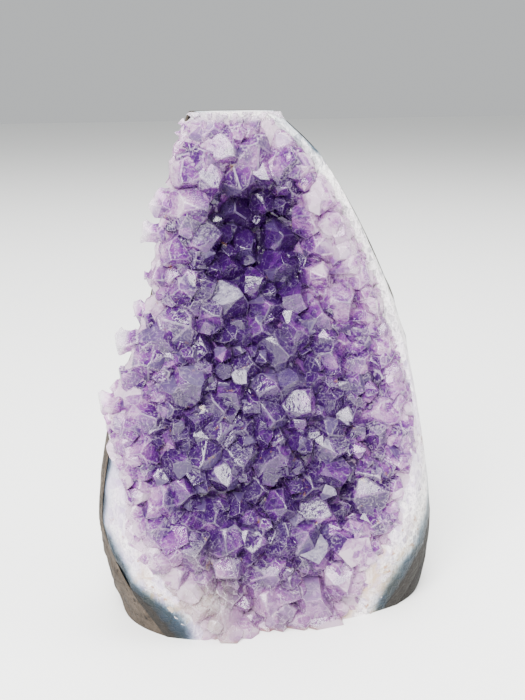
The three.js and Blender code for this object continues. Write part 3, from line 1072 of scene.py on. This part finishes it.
# %% [markdown]
# ## Soft edges on the crystals
#
# Each crystal's edges were bevelled by one narrow face. Shaded flat, that face is only a thin stripe. So
# the edges between it and the facets are smooth, all sharper ones stay sharp, and Weighted Normal lets the
# large facets keep their own direction, which leaves the light to turn over the narrow face alone.

# %% Rounded light on worn edges
SHARP_CRYSTAL = math.radians(42)
crust.data.set_sharp_from_angle(angle=SHARP_CRYSTAL)
weighted = crust.modifiers.new("weighted", "WEIGHTED_NORMAL")
weighted.keep_sharp = True
made_plain(crust)
print("custom normals:", crust.data.has_custom_normals)

# %% [markdown]
# ## Amethyst
#
# Amethyst is clear quartz with a little iron in it. The violet is deepest in the hollow and near the points,
# and pale where the crystals are thin, beside the rims and at the foot. Veils of tiny bubbles, healed cracks
# and worn edges are pale, and that pale colour is also a painted highlight. Glass with an absorbing volume
# alone would be the truer way, but crystals that stand one behind the other then come out pale and blurred,
# because each light path ends after a few turns. So about three fifths of the light goes through, with the
# refraction and absorption of quartz, and the rest is coloured on the faces by a number that says how violet
# each place is. That number also paints shade into the gaps between the crystals, and gives each facet its
# own random tone, painted light and shade that stands in for refraction.

# %% Start and end of a finish
def empty_tree(material):
    """Clears a material and returns its tree."""
    material.use_nodes = True
    material.node_tree.nodes.clear()
    return Tree(material.node_tree)


def output(tree, surface, volume=None):
    """Hands a shader to the material's output, and what fills the piece."""
    out = tree.tree.nodes.new("ShaderNodeOutputMaterial")
    tree.tree.links.new(surface.socket, out.inputs["Surface"])
    if volume is not None:
        tree.tree.links.new(volume.socket, out.inputs["Volume"])


def ramp(tree, amount, *stops):
    """Colours from one end to the other, each with its place from 0 to 1."""
    return tree.node("ShaderNodeValToRGB", {"stops": stops}, {"Fac": amount})


m = empty_tree(amethyst)
facet, edge, tint, core = (m.attribute(name) for name in ("facet", "edge", "tint", "core"))
from_rim, below = m.attribute("rim"), m.attribute("below")
across, height = m.along("X"), m.along("Z")
print("the crystals carry", [item.name for item in crust.data.attributes if item.data_type == "FLOAT"])

# %% How violet each place is, with painted shade in the gaps
zone = from_rim.smooth(1, 27) * (0.15 + height.smooth(0, 40) * 0.85) * (0.5 + height.smooth(147, 128) * 0.5)
zone = zone * (1 - across.smooth(2, 32) * 0.4) * (1 - across.smooth(6, 18) * height.smooth(84, 104) * 0.75)
zone = zone + from_rim.smooth(8, 20) * height.smooth(92, 110) * height.smooth(138, 126) * 0.42
# Painted shade between the crystals: the violet deepens the further a place lies behind the tips, less so
# beside the rims.
gap_shade = below.smooth(1.0, 5.0) * (0.3 + zone * 0.7)
patches = m.cloud(8, 3)
fine = m.cloud(1.6, 5, 0.72, warp=1.5)
shards = m.grains(2.6) - 0.5
pale_side = across.smooth(5, 15) * height.smooth(88, 104) * 0.24
pale_side = pale_side + across.smooth(-33, -41) * height.smooth(75, 65) * 0.16
# The facet term gives each facet its own random tone: painted light and shade standing in for refraction.
violet = zone * 0.42 + gap_shade * 0.45 + patches.smooth(0.36, 0.64) * 0.32 + fine.smooth(0.36, 0.64) * 0.2
violet = violet - pale_side + shards * 0.34 + tint * 0.42 + facet * 0.32 + core * 0.36 - 0.43
violet = violet + across.smooth(-5, -20) * height.smooth(60, 80) * 0.06
print("nodes for the violet:", len(m.tree.nodes))

# %% From pale lilac to deep violet, with veils and cracks, a painted sheen and painted highlights
LILAC, MAUVE, VIOLET = (0.88, 0.68, 0.84), (0.52, 0.24, 0.52), (0.26, 0.060, 0.33)
DEEP_VIOLET, INK = (0.105, 0.014, 0.185), (0.036, 0.002, 0.088)
BLUE_GREY_SHEEN, VEIL_AND_HIGHLIGHT, CRACK_AND_HIGHLIGHT = (0.24, 0.18, 0.40), (0.92, 0.74, 0.90), (0.95, 0.84, 0.94)
colour = ramp(m, violet, (0.0, LILAC), (0.22, MAUVE), (0.45, VIOLET), (0.7, DEEP_VIOLET), (1.0, INK))
# Painted sheen: a few facets are mixed towards blue-grey, the colour of a reflection.
colour = m.mix(facet.smooth(0.9, 0.94) * 0.2, colour, BLUE_GREY_SHEEN)
# Veils and healed cracks are pale in the stone, and their near-white is also a painted highlight.
veils = m.cloud(2.2, 5, 0.72, warp=2.0).smooth(0.52, 0.62)
colour = m.mix(veils * (0.55 - zone * 0.5), colour, VEIL_AND_HIGHLIGHT)
cracks = m.cells(2.3, "DISTANCE_TO_EDGE").smooth(0.05, 0.0) * fine.smooth(0.45, 0.6)
colour = m.mix(cracks * (0.6 - zone * 0.3), colour, CRACK_AND_HIGHLIGHT)
print("nodes with veils and cracks:", len(m.tree.nodes))

# %% Rust, cream and sand where the crust is thin, and worn edges with a painted highlight
RUST, PINK, WORN_EDGE_AND_HIGHLIGHT = (0.42, 0.2, 0.07), (0.62, 0.38, 0.52), (0.93, 0.80, 0.91)
DARK_CREAM, CREAM = (0.50, 0.40, 0.28), (0.90, 0.84, 0.74)
WHITE_SAND, TAN_SAND = (0.95, 0.93, 0.94), (0.72, 0.57, 0.40)
rust = m.cloud(3.5, 3, 0.65).smooth(0.66, 0.72) * below.smooth(1.5, 4)
rust = rust + height.smooth(1.6, 0.4) * patches.smooth(0.42, 0.58)
colour = m.mix(rust * 0.7, colour, RUST)
colour = m.mix(height.smooth(24, 2) * 0.25, colour, PINK)
left_foot = across.smooth(-14, -28) * height.smooth(32, 12)
cream = m.mix(fine.smooth(0.4, 0.6), DARK_CREAM, CREAM)
colour = m.mix(left_foot * (0.2 + patches.smooth(0.4, 0.6) * 0.5), colour, cream)
sand = m.mix(patches.smooth(0.42, 0.62) * height.smooth(70, 40), WHITE_SAND, TAN_SAND)
colour = m.mix(from_rim.smooth(1.5, -0.5) * (0.45 + fine.smooth(0.35, 0.6) * 0.4), colour, sand)
# Worn edges turn pale: partly the frost of wear, and partly a painted highlight along each edge.
colour = m.mix(edge * fine * (0.5 - zone * 0.35), colour, WORN_EDGE_AND_HIGHLIGHT)
print("nodes with rust and sand:", len(m.tree.nodes))

# %% The amethyst's shader
QUARTZ_IOR = 1.544
ABSORBING = {"Color": (0.58, 0.22, 0.70), "Density": 150}
rough = facet ** 3 * 0.25 + fine * 0.12 + 0.04 + edge * 0.1 + veils * 0.15 - zone * 0.03
surface = m.node("ShaderNodeBsdfPrincipled", {}, {
    "Base Color": colour, "Roughness": rough, "IOR": QUARTZ_IOR, "Transmission Weight": 0.62,
    "Specular IOR Level": 0.25, "Normal": m.bump(m.cloud(2.4, 2, 0.5) + m.cloud(0.8, 2, 0.6) * 0.3, 0.26),
})
output(m, surface, m.node("ShaderNodeVolumeAbsorption", {}, ABSORBING))
print("the amethyst has", len(m.tree.nodes), "nodes")

# %% [markdown]
# ## Pale quartz and agate
#
# The ground rims are white quartz in coarse grains. Towards the rock it turns to agate, which is quartz laid
# down in thin layers: blue-grey first, navy next to the rock. Such layers follow the rock's own surface, so
# their colour is read from the distance to the rind, pushed about by noise, and not from a flat pattern of
# stripes. At the two feet the layers are thick and dark, and the last of them hides a skin of rock. Grains,
# streaks, stains and the lilac beside the crystals are laid over that one after the other.

# %% Agate layers that follow the rock
def finish_for(piece, name):
    """Puts a new material on a piece and returns its empty tree."""
    material = bpy.data.materials.new(name)
    piece.data.materials.clear()
    piece.data.materials.append(material)
    return empty_tree(material)


BLACK, NIGHT = (0.005, 0.006, 0.008), (0.008, 0.017, 0.028)
NAVY, SLATE = (0.012, 0.03, 0.048), (0.016, 0.036, 0.055)
STEEL, MIST, WHITE = (0.11, 0.16, 0.20), (0.36, 0.41, 0.45), (0.97, 0.95, 0.94)
q = finish_for(wall, "pale_quartz")
across, height, away = q.along("X"), q.along("Z"), q.attribute("from_rind")
foot = height.smooth(52, 28)
right_side = across.smooth(0, 20)
right_foot = across.smooth(14, 34) * height.smooth(36, 12)
left_foot = across.smooth(-22, -36) * height.smooth(20, 6)
wander = (q.cloud(5, 4, 0.6) - 0.5) * 4 + (q.cloud(1.2, 4, 0.7) - 0.5) * 1.4
depth = (away + wander * (0.15 + foot * 0.85)).math("MAXIMUM", 0.1) - right_foot * 6 - left_foot * 3
layer = depth / (0.3 + foot * (0.25 + right_side * 0.5) + left_foot * 0.9) / 10
agate = ramp(
    q, layer,
    (0.0, BLACK), (0.05, NIGHT), (0.2, NAVY), (0.3, SLATE), (0.42, STEEL), (0.55, MIST), (0.9, WHITE),
)
print("nodes for the agate:", len(q.tree.nodes))

# %% White quartz in grains and streaks
CHALK, GREY, DARK_GREY = (0.92, 0.89, 0.88), (0.24, 0.23, 0.27), (0.16, 0.16, 0.19)
JOINT, SNOW, SHADE = (0.95, 0.94, 0.94), (0.97, 0.96, 0.96), (0.24, 0.24, 0.27)
GRAIN = 2.4  # millimetres
grain = q.grains(GRAIN)
joint = q.cells(GRAIN, "DISTANCE_TO_EDGE").smooth(0.12, 0.02)
specks = q.cloud(1.1, 5, 0.75, warp=1.0).smooth(0.44, 0.6)
streaks = q.cloud(1.5, 4, 0.7, stretch=(2.4, 1, 0.4), warp=0.6)
pale = q.mix(grain ** 2, CHALK, GREY)
pale = q.mix(specks * (0.5 + foot * 0.3), pale, DARK_GREY)
pale = q.mix(joint * 0.5, pale, JOINT)
pale = q.mix(streaks.smooth(0.5, 0.62) * (0.8 - foot * 0.5), pale, SNOW)
pale = q.mix(streaks.smooth(0.46, 0.36) * 0.7, pale, SHADE)
print("nodes with grains:", len(q.tree.nodes))

# %% Blue, lilac and stains on the white
COOL, LILAC_EDGE, TAN, BROWN = (0.30, 0.36, 0.42), (0.58, 0.42, 0.70), (0.50, 0.36, 0.20), (0.30, 0.14, 0.05)
cool = away.smooth(7.5, 3) * (1 - right_side)
pale = q.mix(cool * 0.75, pale, COOL)
lilac = q.attribute("outside").smooth(9, 0) * (0.3 + grain * 0.7) * height.smooth(100, 60)
pale = q.mix(lilac * 0.55, pale, LILAC_EDGE)
stain = q.cloud(7, 4, 0.6).smooth(0.42, 0.6) * height.smooth(36, 12)
pale = q.mix(stain * (0.4 + grain * 0.5), pale, TAN)
pale = q.mix(q.cloud(2.4, 4, 0.6).smooth(0.62, 0.68) * foot * 0.8, pale, BROWN)
colour = q.mix(1.0, agate, pale, "MULTIPLY")
print("nodes with stains:", len(q.tree.nodes))

# %% Rock at the feet and along the edges
HOLLOW, RIGHT_LINE, TOP_LINE = (0.16, 0.07, 0.26), (0.03, 0.023, 0.017), (0.035, 0.026, 0.017)
DARK_ROCK, ROCK = (0.004, 0.004, 0.004), (0.026, 0.021, 0.017)
colour = q.mix(q.attribute("hollow").smooth(2, 12), colour, HOLLOW)
right_line = away.smooth(2.8, 2.1) * right_side * height.smooth(80, 90) * height.smooth(136, 128)
colour = q.mix(right_line * q.cloud(4, 3).smooth(0.35, 0.5), colour, RIGHT_LINE)
top_line = height.smooth(149.6, 149.9) * (away + wander * 0.4).smooth(2.4, 1.6)
colour = q.mix(top_line * 0.95, colour, TOP_LINE)
rock = depth.smooth(0.1, -0.5)
colour = q.mix(rock, colour, q.mix(q.cloud(1.5, 4, 0.7), DARK_ROCK, ROCK))
relief = q.cloud(1.0, 4, 0.6) + joint * 0.3 + rock * q.cloud(1.0, 3) + grain * foot * 0.5
surface = q.node("ShaderNodeBsdfPrincipled", {}, {
    "Base Color": colour, "Roughness": q.cloud(2, 3) * 0.3 + 0.25 + rock * 0.3, "Specular IOR Level": 0.22,
    "Normal": q.bump(relief, 0.3),
})
output(q, surface)
print("the pale quartz has", len(q.tree.nodes), "nodes")

# %% [markdown]
# ## Basalt
#
# The host rock is old lava: brown-grey, dull and full of small pits where gas bubbles were. Two sizes of
# noise make its tone, and two sizes of cells make the pits, which a slower noise gathers into patches. The
# same pits go into the bump, so that the dark spots are also the low ones. The right foot is much darker at
# the front, over a wandering edge.

# %% Tone, pits and the dark foot
DARK_BASALT, BASALT, PALE_BASALT = (0.010, 0.0075, 0.006), (0.036, 0.027, 0.020), (0.095, 0.072, 0.054)
NEAR_BLACK, PIT = (0.004, 0.004, 0.0045), (0.012, 0.010, 0.009)
b = finish_for(rind, "basalt")
across, forward, height = b.along("X"), b.along("Y"), b.along("Z")
tone = b.cloud(7, 4, 0.6) * 0.6 + b.cloud(1.2, 4, 0.7) * 0.5
colour = ramp(b, tone, (0.3, DARK_BASALT), (0.5, BASALT), (0.7, PALE_BASALT))
wander = (b.cloud(12, 4, 0.6) - 0.5) * 40
# Towards the front of the right foot the basalt turns near black.
dark = (across + wander).smooth(2, 26) * (height + wander).smooth(75, 25) * forward.smooth(14, -14)
colour = b.mix(dark * 0.85, colour, NEAR_BLACK)
pits = b.cells(3.1).smooth(0.34, 0.12) * b.cloud(5, 3).smooth(0.46, 0.56)
pits = pits + b.cells(1.3).smooth(0.4, 0.18) * b.cloud(3, 3).smooth(0.5, 0.6)
colour = b.mix(pits * 0.85, colour, PIT)
surface = b.node("ShaderNodeBsdfPrincipled", {}, {
    "Base Color": colour, "Roughness": b.cloud(3, 3) * 0.25 + 0.62, "Specular IOR Level": 0.15,
    "Normal": b.bump(b.cloud(1.6, 6, 0.7) - pits * 0.8, 0.5),
})
output(b, surface)
print("the basalt has", len(b.tree.nodes), "nodes")

# %% [markdown]
# ## Bodies for the pieces
#
# Each piece rides on a body, and the measured solid that it stands in for is hidden. Nothing on a stone
# moves, so all three ride on the root.

# %% Bodies and solids
for piece, node, slot in (
    (crust, "amethyst_crust", "amethyst"),
    (wall, "quartz_wall", "pale_quartz"),
    (rind, "basalt_rind", "basalt"),
):
    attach(piece, "root")
    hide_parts(node)
